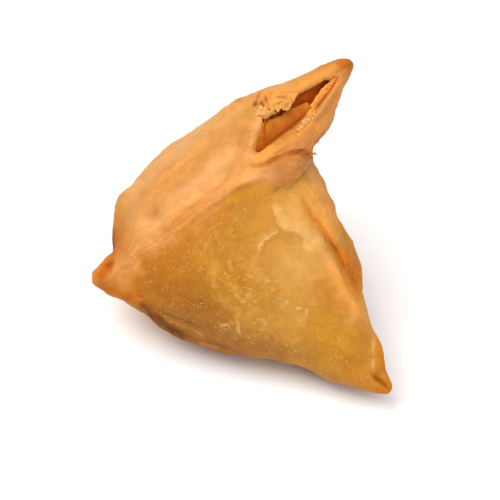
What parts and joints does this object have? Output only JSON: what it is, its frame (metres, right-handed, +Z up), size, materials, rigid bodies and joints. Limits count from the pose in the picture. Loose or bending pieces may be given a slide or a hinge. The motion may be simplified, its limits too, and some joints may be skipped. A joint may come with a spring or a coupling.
{
  "type": "samosa",
  "caption": "Deep-fried samosa: a swollen cone of dough, pinched shut along a seal whose end stands out as a torn, open-lipped ear.",
  "frame": {"origin": "centre of the samosa's box, at the level it rests on", "axes": "+Z up; +X across the front panel, from the horn towards the cone's tip; -Y towards the viewer of the front panel"},
  "size_m": [0.0811, 0.0778, 0.058],
  "materials": {
    "fried_dough": "golden-brown deep-fried dough, lightly oily, with fine blisters"
  },
  "bodies": {
    "root": {"samosa": "fried_dough"}
  },
  "joints": []
}
